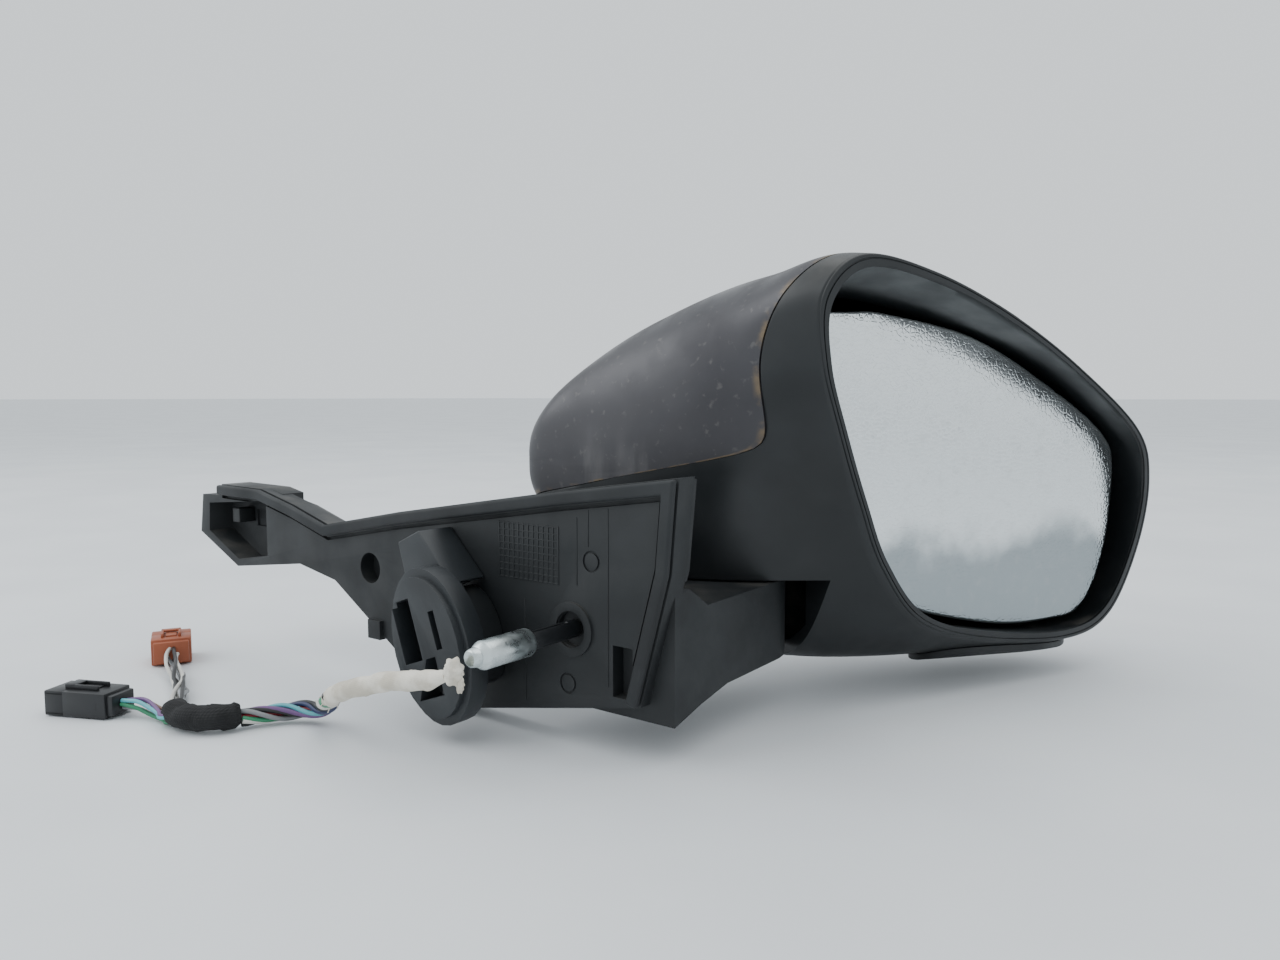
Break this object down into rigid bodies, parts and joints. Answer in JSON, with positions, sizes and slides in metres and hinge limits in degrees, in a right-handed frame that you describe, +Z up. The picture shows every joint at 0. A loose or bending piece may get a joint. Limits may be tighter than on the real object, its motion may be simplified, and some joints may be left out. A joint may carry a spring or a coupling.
{
  "type": "car side mirror",
  "caption": "Folding car door mirror with painted cap, tilting glass, flat fixing foot with stud and clip, and two wiring tails with plugs.",
  "frame": {"origin": "on the foot's flat door-side face, between the fixing stud and the locating clip", "axes": "+X to the rear of the car, +Y away from the door, +Z up, as mounted on a right-hand door"},
  "size_m": [0.3938, 0.3503, 0.1758],
  "materials": {
    "moulded_black": "fine moulded grain",
    "satin_black": "satin",
    "seal_rubber": "dull",
    "cap_paint": "dusty metallic dark grey",
    "mirror_face": "silvered, lightly textured film",
    "heater_film": "thin film",
    "zinc_sleeve": "zinc plated",
    "steel": "plain",
    "white_nylon": "natural nylon",
    "cloth_tape": "woven cloth tape",
    "felt": "felt tape",
    "wire_insulation": "smooth PVC, several colours",
    "terracotta_plastic": "moulded",
    "plug_black": "moulded"
  },
  "bodies": {
    "base": {"base_plate": "moulded_black", "outer_skin": "satin_black", "gasket_bead": "seal_rubber", "strip_hook": "moulded_black", "stud_shaft": "satin_black", "stud_sleeve": "zinc_sleeve", "clip_body": "moulded_black", "clip_stem": "moulded_black", "clip_blade": "moulded_black", "pivot_spindle": "steel", "detent_ring": "steel", "fold_spring": "steel", "spring_washer": "steel", "spindle_collar": "steel", "tape_knot": "cloth_tape", "harness_trunk": "cloth_tape", "harness_wrap": "felt", "lamp_lead": "wire_insulation", "motor_lead": "wire_insulation", "lamp_connector": "terracotta_plastic", "motor_connector": "plug_black"},
    "head": {"head_shell": "satin_black", "painted_cap": "cap_paint", "lower_cover": "moulded_black", "head_chassis": "moulded_black", "drive_housing": "moulded_black", "yaw_motor": "steel", "pitch_motor": "steel", "drive_screw_1": "steel", "drive_screw_2": "steel", "inner_lead": "wire_insulation"},
    "gimbal": {"gimbal_ring": "white_nylon"},
    "glass": {"mirror_glass": "mirror_face", "heater_pad": "heater_film", "glass_carrier": "moulded_black"},
    "yaw_rod": {"yaw_push_rod": "white_nylon"},
    "pitch_rod": {"pitch_push_rod": "white_nylon"}
  },
  "joints": [
    {"name": "head_fold", "type": "hinge", "parent": "base", "child": "head", "pos_m": [0.034, 0.078, 0.03], "axis": [0, 0, -1], "range_deg": [-20, 62]},
    {"name": "glass_yaw", "type": "hinge", "parent": "head", "child": "gimbal", "pos_m": [0.10137, 0.16206, 0.048], "axis": [0, 0, 1], "range_deg": [-9, 9]},
    {"name": "glass_pitch", "type": "hinge", "parent": "gimbal", "child": "glass", "pos_m": [0.10137, 0.16206, 0.048], "axis": [0.515, 0.8572, 0], "range_deg": [-8, 8]},
    {"name": "yaw_rod_slide", "type": "slide", "parent": "head", "child": "yaw_rod", "axis": [-0.8572, 0.515, 0], "range_m": [-0.0045, 0.0045]},
    {"name": "pitch_rod_slide", "type": "slide", "parent": "head", "child": "pitch_rod", "axis": [-0.8572, 0.515, 0], "range_m": [-0.0045, 0.0045]}
  ],
  "couplings": [
    {"joint": "yaw_rod_slide", "follows": "glass_yaw", "m_per_rad": -0.026},
    {"joint": "pitch_rod_slide", "follows": "glass_pitch", "m_per_rad": 0.022}
  ]
}
